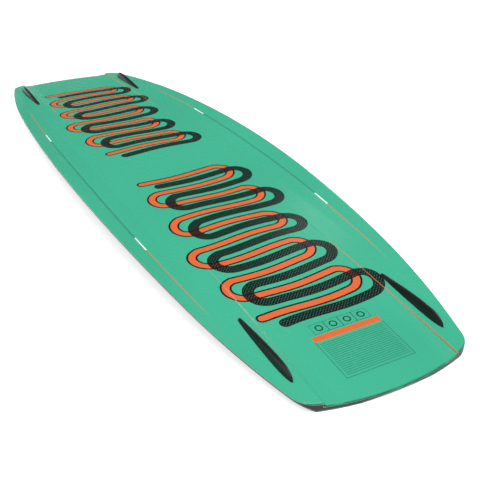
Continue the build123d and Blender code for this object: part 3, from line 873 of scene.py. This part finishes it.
# ---- Threads ----
class GeometryTree:
    """Short calls that build a geometry node tree with named inputs."""

    def __init__(self, name):
        self.tree = bpy.data.node_groups.new(name, "GeometryNodeTree")
        self.tree.is_modifier = True
        self.tree.interface.new_socket("Geometry", in_out="OUTPUT", socket_type="NodeSocketGeometry")
        self.identifiers = {}
        self.source = self.tree.nodes.new("NodeGroupInput")
        self.sink = self.tree.nodes.new("NodeGroupOutput")

    def number(self, name, value):
        """A named input of the tree, and the value it gets."""
        socket = self.tree.interface.new_socket(name, in_out="INPUT", socket_type="NodeSocketFloat")
        self.identifiers[name] = (socket.identifier, value)
        return self.source.outputs[name]

    def add(self, kind, inputs=None, **settings):
        node = self.tree.nodes.new(kind)
        node.location = (220 * (len(self.tree.nodes) % 8), -200 * (len(self.tree.nodes) // 8))
        for key, value in settings.items():
            setattr(node, key, value)
        for key, value in (inputs or {}).items():
            if isinstance(value, bpy.types.NodeSocket):
                self.tree.links.new(value, node.inputs[key])
            else:
                node.inputs[key].default_value = value
        return node

    def math(self, operation, a, b=0.0):
        return self.add("ShaderNodeMath", {0: a, 1: b}, operation=operation).outputs[0]

    def bake(self, name, geometry, material):
        """End the tree, run it once and keep its result as a plain mesh piece."""
        whole = self.add("GeometryNodeRealizeInstances", {"Geometry": geometry})
        painted = self.add(
            "GeometryNodeSetMaterial", {"Geometry": whole.outputs["Geometry"], "Material": material}
        )
        self.tree.links.new(painted.outputs["Geometry"], self.sink.inputs["Geometry"])
        maker = linked(f"{name}_maker", bpy.data.meshes.new(f"{name}_seed"))
        modifier = maker.modifiers.new("maker", "NODES")
        modifier.node_group = self.tree
        for identifier, value in self.identifiers.values():
            modifier[identifier] = value
        bpy.context.view_layer.update()
        graph = bpy.context.evaluated_depsgraph_get()
        mesh = bpy.data.meshes.new_from_object(maker.evaluated_get(graph))
        maker.modifiers.remove(modifier)
        bpy.data.objects.remove(maker)
        mesh.name = name
        if len(mesh.polygons) == 0:
            raise RuntimeError(f"{name}: the node tree made nothing")
        return linked(name, mesh)


def build_threads(threads, material):
    """Helical threads down the bores of all the binding inserts."""
    low, high = (Vector(corner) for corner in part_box("binding_inserts_far_right"))
    flange, gaps = 0.009, 5
    pitch = (high.y - low.y - 2 * flange) / gaps
    middle_y = (low.y + high.y) / 2
    line_x = (low.x + high.x) / 2
    deck_rise, contact_y, coil_start = 0.019, 0.69568, 0.0022
    deck_radius = arc_radius(deck_rise, contact_y)
    g = GeometryTree("insert_thread_maker")
    bore = g.number("Bore Radius", threads.bore)
    lead = g.number("Pitch", threads.pitch)
    tooth = g.number("Tooth Radius", threads.tooth)
    turns = g.number("Turns", float(threads.turns))
    row = g.number("Insert Pitch", pitch)
    line = g.number("Line Offset", line_x)
    stance = g.number("Stance Half", middle_y)
    radius = g.number("Deck Radius", deck_radius)
    rise = g.number("Deck Rise", deck_rise)
    helix = g.add("GeometryNodeCurveSpiral", {
        "Resolution": 20, "Rotations": turns, "Start Radius": bore, "End Radius": bore,
        "Height": g.math("MULTIPLY", turns, lead),
    })
    crest = g.add("GeometryNodeCurvePrimitiveCircle", {"Resolution": 5, "Radius": tooth}, mode="RADIUS")
    coil = g.add("GeometryNodeCurveToMesh", {
        "Curve": helix.outputs["Curve"], "Profile Curve": crest.outputs["Curve"], "Fill Caps": True,
    })
    grids = g.add("GeometryNodeJoinGeometry")
    for sign in SIGN.values():
        grid = g.add("GeometryNodeMeshGrid", {
            "Size X": g.math("MULTIPLY", line, 2.0), "Size Y": g.math("MULTIPLY", row, float(gaps)),
            "Vertices X": 2, "Vertices Y": gaps + 1,
        })
        shift = g.add("ShaderNodeCombineXYZ", {"Y": g.math("MULTIPLY", stance, sign)})
        moved = g.add("GeometryNodeTransform", {
            "Geometry": grid.outputs["Mesh"], "Translation": shift.outputs["Vector"],
        })
        g.tree.links.new(moved.outputs["Geometry"], grids.inputs["Geometry"])
    here = g.add("ShaderNodeSeparateXYZ", {"Vector": g.add("GeometryNodeInputPosition").outputs["Position"]})
    inside = g.math("SUBTRACT", g.math("MULTIPLY", radius, radius), g.math("POWER", here.outputs["Y"], 2.0))
    height = g.math("ADD", g.math("SUBTRACT", g.math("SQRT", inside), radius), rise)
    lift = g.add("ShaderNodeCombineXYZ", {"Z": g.math("ADD", height, coil_start)})
    seated = g.add("GeometryNodeSetPosition", {
        "Geometry": grids.outputs["Geometry"], "Offset": lift.outputs["Vector"],
    })
    copies = g.add("GeometryNodeInstanceOnPoints", {
        "Points": seated.outputs["Geometry"], "Instance": coil.outputs["Mesh"],
    })
    return g.bake("insert_threads", copies.outputs["Instances"], material)


# ---- Operators ----
def board_shape(scene):
    """The base's shape from the sizes in the sidebar."""
    return BaseShape(scene.wakeboard_base, Outline(scene.wakeboard_outline))


class WAKEBOARD_OT_base_skin(bpy.types.Operator):
    """Build the printed base sheet"""

    bl_idname = "wakeboard.base_skin"
    bl_label = "Base Skin"

    def execute(self, context):
        graphic = context.scene.wakeboard_graphic
        skin = build_base_skin(board_shape(context.scene), graphic)
        dress(skin, base_print(graphic))
        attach(skin, "root")
        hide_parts("base_sheet")
        return {"FINISHED"}


class WAKEBOARD_OT_fins(bpy.types.Operator):
    """Build the four moulded fins"""

    bl_idname = "wakeboard.fins"
    bl_label = "Fins"

    def execute(self, context):
        shape = board_shape(context.scene)
        material = moulded_nylon()
        for end, side in CORNERS:
            piece = build_fin(end, side, context.scene.wakeboard_fins, shape)
            dress(piece, material)
            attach(piece, "root")
            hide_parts(f"fin_{end}_{side}")
        return {"FINISHED"}


class WAKEBOARD_OT_threads(bpy.types.Operator):
    """Build the threads of the binding inserts"""

    bl_idname = "wakeboard.threads"
    bl_label = "Insert Threads"

    def execute(self, context):
        material = turned_metal("thread_brass", (0.62, 0.42, 0.16), (0.78, 0.58, 0.27), 0.22, 0.40)
        piece = build_threads(context.scene.wakeboard_threads, material)
        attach(piece, "root")
        return {"FINISHED"}


class WAKEBOARD_OT_finishes(bpy.types.Operator):
    """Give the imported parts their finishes"""

    bl_idname = "wakeboard.finishes"
    bl_label = "Finishes"

    def execute(self, context):
        brass, bright_brass, dull_brass = (0.60, 0.41, 0.16), (0.80, 0.60, 0.28), (0.78, 0.58, 0.27)
        finishes = {
            "deck_sheet": textured_film(),
            "rail_perimeter": cast_urethane(),
            "base_laminate": woven_glass("glass_laminate", (0.30, 0.34, 0.28), (0.18, 0.22, 0.18)),
            "insert_plate": woven_glass("glass_plate", (0.42, 0.40, 0.24), (0.26, 0.26, 0.14)),
            "foam_core": closed_cell_foam(),
            "binding_inserts": turned_metal("insert_brass", brass, bright_brass, 0.20, 0.36),
            "fin_inserts": turned_metal("fin_insert_brass", brass, dull_brass, 0.24, 0.42),
            "fin_ferrules": moulded_ferrule(),
            "fin_washers": turned_metal("washer_steel", (0.50, 0.51, 0.52), (0.66, 0.66, 0.67), 0.18, 0.34),
            "fin_screws": turned_metal("screw_steel", (0.55, 0.55, 0.56), (0.72, 0.72, 0.73), 0.14, 0.28),
        }
        finishes["deck_laminate"] = finishes["base_laminate"]
        for name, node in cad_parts.items():
            for start, material in finishes.items():
                if name.startswith(start):
                    dress(node, material)
                    break
            else:
                if not node.hide_render:
                    raise RuntimeError(f"{name} has no finish")
        return {"FINISHED"}


class WAKEBOARD_OT_stage(bpy.types.Operator):
    """Set the floor, the lights and the camera"""

    bl_idname = "wakeboard.stage"
    bl_label = "Stage"

    def execute(self, context):
        scene, stage = context.scene, context.scene.wakeboard_stage
        far_place, far_size = (1.41, 1.36, 1.29), 0.30
        low_place, low_size = (1.62, 1.15, 0.34), 0.35
        self.floor(stage)
        self.sky(scene, stage)
        self.overhead(stage)
        self.light("far_softbox", far_place, stage.softbox, far_size)
        self.light("ridge_softbox", low_place, stage.strip, low_size)
        self.camera(scene, stage)
        scene.view_settings.view_transform = "Standard"
        return {"FINISHED"}

    def floor(self, stage):
        """A pale floor just under the board, with a little light of its own."""
        clearance = 0.0002
        half, low = stage.floor, CAD_BOX[0][2] - clearance
        corners = [(-half, -half, low), (half, -half, low), (half, half, low), (-half, half, low)]
        floor = mesh_piece("floor", corners, [(0, 1, 2, 3)], shade_smooth=False)
        n = Nodes("pale_floor")
        place, _, _, _ = n.place()
        cloud = n.noise(place, scale=1.2)
        n.bump((cloud, 0.02, 0.001))
        dress(floor, n.set(
            Base_Color=n.mix(cloud, (0.40, 0.40, 0.40), (0.42, 0.42, 0.42)), Roughness=0.75,
            Specular_IOR_Level=0.1, Emission_Color=(1.0, 1.0, 1.0), Emission_Strength=stage.floor_glow,
        ))

    def sky(self, scene, stage):
        """Even light that is bright overhead and dark near the floor, which keeps the blacks deep."""
        horizon_z, zenith_z = 0.68, 0.98
        world = scene.world or bpy.data.worlds.new("studio")
        scene.world = world
        world.use_nodes = True
        tree = world.node_tree
        upward = tree.nodes.new("ShaderNodeSeparateXYZ")
        tree.links.new(tree.nodes.new("ShaderNodeTexCoord").outputs["Generated"], upward.inputs[0])
        rise = tree.nodes.new("ShaderNodeMapRange")
        rise.interpolation_type = "SMOOTHSTEP"
        rise.inputs["From Min"].default_value = horizon_z
        rise.inputs["From Max"].default_value = zenith_z
        rise.inputs["To Min"].default_value = stage.horizon
        rise.inputs["To Max"].default_value = stage.zenith
        tree.links.new(upward.outputs["Z"], rise.inputs["Value"])
        background = tree.nodes["Background"]
        background.inputs["Color"].default_value = (1.0, 1.0, 1.0, 1.0)
        tree.links.new(rise.outputs["Result"], background.inputs["Strength"])

    def overhead(self, stage):
        """The wide main light, tipped a little off the vertical."""
        width, tip_x, tip_y = 50, 8, -12
        data = bpy.data.lights.new("overhead", "SUN")
        data.energy = stage.sun
        data.angle = math.radians(width)
        linked("overhead", data).rotation_euler = (math.radians(tip_x), math.radians(tip_y), 0)

    def camera(self, scene, stage):
        """The main camera, from its place, its view direction and its up direction."""
        sensor, view_end = 36.0, 50.0
        data = bpy.data.cameras.new("camera")
        data.lens = stage.lens
        data.sensor_width = sensor
        data.clip_end = view_end
        camera = linked("camera", data)
        forward = Vector(stage.forward).normalized()
        right = forward.cross(Vector(stage.upward)).normalized()
        above = right.cross(forward)
        place = camera.matrix_world.copy()
        for row in range(3):
            place[row][0], place[row][1], place[row][2] = right[row], above[row], -forward[row]
            place[row][3] = stage.camera[row]
        camera.matrix_world = place
        scene.camera = camera

    def light(self, name, place, power, size):
        """A square area light that looks at the middle of the board."""
        data = bpy.data.lights.new(name, "AREA")
        data.energy = power
        data.size = size
        lamp = linked(name, data)
        lamp.location = place
        lamp.rotation_euler = (-Vector(place)).to_track_quat("-Z", "Y").to_euler()


class WAKEBOARD_PT_panel(bpy.types.Panel):
    """Wakeboard looks"""

    bl_idname = "WAKEBOARD_PT_panel"
    bl_label = "Wakeboard"
    bl_space_type = "VIEW_3D"
    bl_region_type = "UI"
    bl_category = "Wakeboard"

    def draw(self, context):
        for operator, groups in STEPS:
            box = self.layout.box()
            box.operator(operator.bl_idname)
            for group in groups:
                sizes = getattr(context.scene, group)
                for name in sizes.__annotations__:
                    box.prop(sizes, name)


STEPS = [
    (WAKEBOARD_OT_base_skin, ("wakeboard_outline", "wakeboard_base", "wakeboard_graphic")),
    (WAKEBOARD_OT_fins, ("wakeboard_fins",)),
    (WAKEBOARD_OT_threads, ("wakeboard_threads",)),
    (WAKEBOARD_OT_finishes, ()),
    (WAKEBOARD_OT_stage, ("wakeboard_stage",)),
]
GROUPS = {
    "wakeboard_outline": WAKEBOARD_PG_outline,
    "wakeboard_base": WAKEBOARD_PG_base,
    "wakeboard_graphic": WAKEBOARD_PG_graphic,
    "wakeboard_fins": WAKEBOARD_PG_fins,
    "wakeboard_threads": WAKEBOARD_PG_threads,
    "wakeboard_stage": WAKEBOARD_PG_stage,
}


def register():
    """Add the sizes, the operators and the panel."""
    for name, group in GROUPS.items():
        bpy.utils.register_class(group)
        setattr(bpy.types.Scene, name, bpy.props.PointerProperty(type=group))
    for operator, _ in STEPS:
        bpy.utils.register_class(operator)
    bpy.utils.register_class(WAKEBOARD_PT_panel)


def unregister():
    """Take them away again."""
    bpy.utils.unregister_class(WAKEBOARD_PT_panel)
    for operator, _ in reversed(STEPS):
        bpy.utils.unregister_class(operator)
    for name, group in reversed(GROUPS.items()):
        delattr(bpy.types.Scene, name)
        bpy.utils.unregister_class(group)


def main():
    """Run every step in order."""
    register()
    for operator, _ in STEPS:
        area, action = operator.bl_idname.split(".")
        getattr(getattr(bpy.ops, area), action)()


if __name__ == "__main__":
    main()
